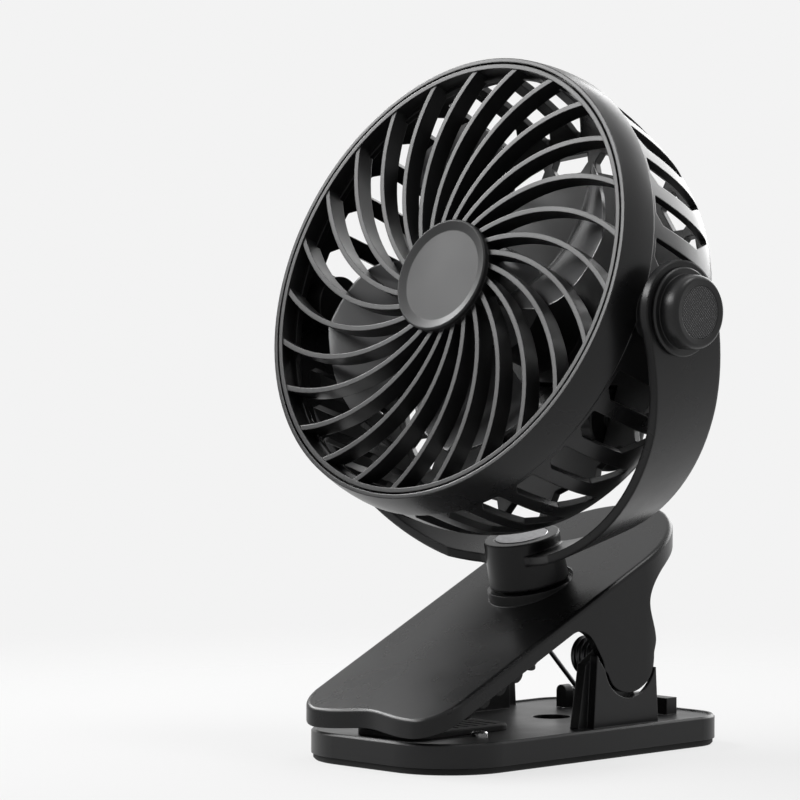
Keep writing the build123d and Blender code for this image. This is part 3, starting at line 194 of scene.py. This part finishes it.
# ---- head housing ----
# A slotted drum in the same satin black, with brass thread inserts moulded in at the tilt pivots.
# The rear cover is screwed on it, and the pod on the cover with a push button in its back.
DRUM_BLACK = (0.010, 0.010, 0.0105)
INSERT_BRASS = (0.6, 0.42, 0.16)
COVER_BLACK = (0.008, 0.008, 0.0085)
BUTTON_BLACK = (0.02, 0.02, 0.02)
dress(["housing_drum"], moulded("drum black", DRUM_BLACK, 0.30))
dress(["thread_inserts"], steel("brass", INSERT_BRASS, 0.35))
dress(["rear_grille", "rear_pod"], moulded("cover black", COVER_BLACK, 0.4))
dress(["power_button"], moulded("button black", BUTTON_BLACK, 0.35))

# ---- front grille and hub disc ----
# Ring and curved ribs are one moulding, a little greyer than the drum, with crisp edges. The bare
# disc pressed into its middle is duller.
GRILLE_BLACK = (0.014, 0.014, 0.0145)
HUB_BLACK = (0.018, 0.018, 0.0185)
dress(["front_grille"], moulded("grille black", GRILLE_BLACK, 0.34, edge=0.00035))
dress(["hub_cap"], moulded("hub black", HUB_BLACK, 0.44))

# ---- impeller, motor shaft and charging socket ----
# The impeller is one moulding in glossy dark grey plastic, with four thin smooth blades, pressed
# on the ground steel shaft. The charging socket in the pod is the same bright steel.
IMPELLER_GREY = (0.10, 0.10, 0.102)
GROUND_STEEL = (0.5, 0.5, 0.51)
dress(
    ["impeller"],
    moulded(
        "impeller grey", IMPELLER_GREY, 0.22, grain=0.03, cloud=0.02, edge=0.0003, gloss=0.5
    ),
)
dress(["motor_shaft", "usb_port"], steel("ground steel", GROUND_STEEL, 0.2))

# ---- motor, cell and board ----
# A zinc-plated can held by the rear cover, a cell in black wrap in the pod, and a black board
# beside it. All are out of sight in the head.
ZINC_GREY = (0.3, 0.3, 0.3)
WRAP_BLACK = (0.012, 0.012, 0.013)
BOARD_BLACK = (0.008, 0.009, 0.008)
dress(["motor"], steel("zinc can", ZINC_GREY, 0.35))
dress(["battery_cell"], moulded("cell wrap", WRAP_BLACK, 0.3))
dress(["control_board"], moulded("board", BOARD_BLACK, 0.45))

# ---- tilt knob ----
# A round satin black moulding with a flat flange. The inlay disc in its face is greyer, with a
# fine diagonal mesh pressed into it.
KNOB_BLACK = (0.011, 0.011, 0.0115)
DISC_GREY = (0.03, 0.03, 0.031)
MESH_PITCH = 0.0007
MESH_DEPTH = 0.00015
WAVE_SCALE = 0.314


def press_mesh(material):
    """Press two crossed sets of fine diagonal lines into the material's relief."""
    tree = material.node_tree
    place = add(tree, "TexCoord")
    both = add(tree, "Math")
    both.operation = "MULTIPLY"
    for slot, turn in enumerate((45, -45)):
        turned = add(tree, "Mapping", Rotation=(radians(turn), 0, 0))
        lines = add(tree, "TexWave", Scale=WAVE_SCALE / MESH_PITCH)
        lines.bands_direction = "Y"
        tree.links.new(place.outputs["Object"], turned.inputs["Vector"])
        tree.links.new(turned.outputs["Vector"], lines.inputs["Vector"])
        tree.links.new(lines.outputs["Fac"], both.inputs[slot])
    relief = add(tree, "Bump", Strength=0.8, Distance=MESH_DEPTH)
    shader = tree.nodes["Principled BSDF"]
    grain = shader.inputs["Normal"].links[0].from_socket
    tree.links.new(grain, relief.inputs["Normal"])
    tree.links.new(both.outputs["Value"], relief.inputs["Height"])
    tree.links.new(relief.outputs["Normal"], shader.inputs["Normal"])
    return material


dress(["knob_right"], moulded("knob black", KNOB_BLACK, 0.32))
dress(["knob_right_disc"], press_mesh(moulded("knob disc", DISC_GREY, 0.42)))

# ---- floor ----
# A pale sheet of paper that fades into the equally pale room. Camera, glossy and transmission
# rays see it as pale as the room behind, with the fan's soft shadow; other rays see plain paper.
FLOOR_WHITE = 0.60
SEEN_PAPER = 0.15
SEEN_GLOW = 0.72
FLOOR_RADIUS = 0.9
FADE_START = 0.16
FADE_END = 0.42


def seen_rays(tree):
    """Give a socket that is 1 for rays that show the background, and 0 for other rays."""
    path = add(tree, "LightPath")
    mirror = add(tree, "Math")
    mirror.operation = "MAXIMUM"
    either = add(tree, "Math")
    either.operation = "MAXIMUM"
    tree.links.new(path.outputs["Is Glossy Ray"], mirror.inputs[0])
    tree.links.new(path.outputs["Is Transmission Ray"], mirror.inputs[1])
    tree.links.new(path.outputs["Is Camera Ray"], either.inputs[0])
    tree.links.new(mirror.outputs["Value"], either.inputs[1])
    return either.outputs["Value"]


def grey(level):
    """Colour of this grey."""
    return (level, level, level, 1)


bpy.ops.mesh.primitive_circle_add(vertices=128, radius=FLOOR_RADIUS, fill_type="NGON")
floor = bpy.context.object
floor.name = "floor"
floor_material = bpy.data.materials.new("floor white")
floor_material.use_nodes = True
tree = floor_material.node_tree
tree.nodes.clear()
paper = add(tree, "BsdfDiffuse", Color=grey(FLOOR_WHITE))
lit = add(tree, "BsdfDiffuse", Color=grey(SEEN_PAPER))
glow = add(tree, "Emission", Color=grey(SEEN_GLOW))
seen_floor = add(tree, "AddShader")
sheet = add(tree, "MixShader")
clear = add(tree, "BsdfTransparent")
fade = add(tree, "MixShader")
place = add(tree, "TexCoord")
length = add(tree, "VectorMath")
length.operation = "LENGTH"
ramp = add(tree, "MapRange", From_Min=FADE_START, From_Max=FADE_END)
ramp.interpolation_type = "SMOOTHSTEP"
output = add(tree, "OutputMaterial")
tree.links.new(lit.outputs["BSDF"], seen_floor.inputs[0])
tree.links.new(glow.outputs["Emission"], seen_floor.inputs[1])
tree.links.new(seen_rays(tree), sheet.inputs["Fac"])
tree.links.new(paper.outputs["BSDF"], sheet.inputs[1])
tree.links.new(seen_floor.outputs["Shader"], sheet.inputs[2])
tree.links.new(place.outputs["Object"], length.inputs[0])
tree.links.new(length.outputs["Value"], ramp.inputs["Value"])
tree.links.new(ramp.outputs["Result"], fade.inputs["Fac"])
tree.links.new(sheet.outputs["Shader"], fade.inputs[1])
tree.links.new(clear.outputs["BSDF"], fade.inputs[2])
tree.links.new(fade.outputs["Shader"], output.inputs["Surface"])
floor.data.materials.append(floor_material)

# ---- world ----
# The room of the studio: pale grey wherever the background shows, and a soft gradient of light
# from the back right for everything else.
BACKGROUND_WHITE = 0.896
ROOM_STRENGTH = 0.42
BRIGHT_SIDE = (0.22, 0.90, 0.38)
DARK_END = -0.5
BRIGHT_END = 0.9
DARK_TONE = 0.16

world = bpy.data.worlds.new("studio")
bpy.context.scene.world = world
world.use_nodes = True
tree = world.node_tree
tree.nodes.clear()
seen = add(tree, "Background", Color=grey(BACKGROUND_WHITE))
room = add(tree, "Background", Strength=ROOM_STRENGTH)
heading = add(tree, "TexCoord")
side = add(tree, "VectorMath")
side.operation = "DOT_PRODUCT"
side.inputs[1].default_value = BRIGHT_SIDE
shade = add(
    tree, "MapRange", From_Min=DARK_END, From_Max=BRIGHT_END, To_Min=DARK_TONE, To_Max=1.0
)
shade.interpolation_type = "SMOOTHSTEP"
choose = add(tree, "MixShader")
output = add(tree, "OutputWorld")
tree.links.new(heading.outputs["Generated"], side.inputs[0])
tree.links.new(side.outputs["Value"], shade.inputs["Value"])
tree.links.new(shade.outputs["Result"], room.inputs["Color"])
tree.links.new(seen_rays(tree), choose.inputs["Fac"])
tree.links.new(room.outputs["Background"], choose.inputs[1])
tree.links.new(seen.outputs["Background"], choose.inputs[2])
tree.links.new(choose.outputs["Shader"], output.inputs["Surface"])

# ---- lights ----
# Four soft boxes a metre from the fan: a long band at the front left, one at the left, one
# overhead and a wide one behind that draws the drum's rear edge.
LOOK_AT = Vector((-0.02337, -0.02390, 0.10719))
BOX_DISTANCE = 1.0


def softbox(name, direction, size, power):
    """Rectangular area light in this direction from the fan, aimed at it."""
    lamp = bpy.data.lights.new(name, "AREA")
    lamp.shape = "RECTANGLE"
    lamp.size, lamp.size_y = size
    lamp.energy = power
    holder = bpy.data.objects.new(name, lamp)
    bpy.context.collection.objects.link(holder)
    holder.location = LOOK_AT + Vector(direction).normalized() * BOX_DISTANCE
    holder.rotation_euler = (LOOK_AT - holder.location).to_track_quat("-Z", "Y").to_euler()


softbox("front left band", (-0.66, -0.45, 0.60), (0.95, 0.28), 10.5)
softbox("left box", (-0.82, 0.06, 0.57), (0.25, 0.25), 3.6)
softbox("overhead box", (0.3, 0.25, 0.9), (0.45, 0.45), 4)
softbox("rim box", (-0.12, 0.94, 0.30), (0.8, 0.5), 5)

# ---- camera ----
# A long lens at the photograph's height and angle, to the right of the fan's front.
CAMERA_TURN = radians(45.64)
CAMERA_RISE = radians(2.54)
CAMERA_DISTANCE = 1.3022
LENS = 192.4
SENSOR = 36

towards_camera = Vector(
    (
        sin(CAMERA_TURN) * cos(CAMERA_RISE),
        -cos(CAMERA_TURN) * cos(CAMERA_RISE),
        sin(CAMERA_RISE),
    )
)
camera_data = bpy.data.cameras.new("camera")
camera_data.sensor_width = SENSOR
camera_data.lens = LENS
camera_data.clip_end = 20
camera = bpy.data.objects.new("camera", camera_data)
bpy.context.collection.objects.link(camera)
camera.location = LOOK_AT + towards_camera * CAMERA_DISTANCE
camera.rotation_euler = towards_camera.to_track_quat("Z", "Y").to_euler()
bpy.context.scene.camera = camera
bpy.context.scene.view_settings.view_transform = "Standard"
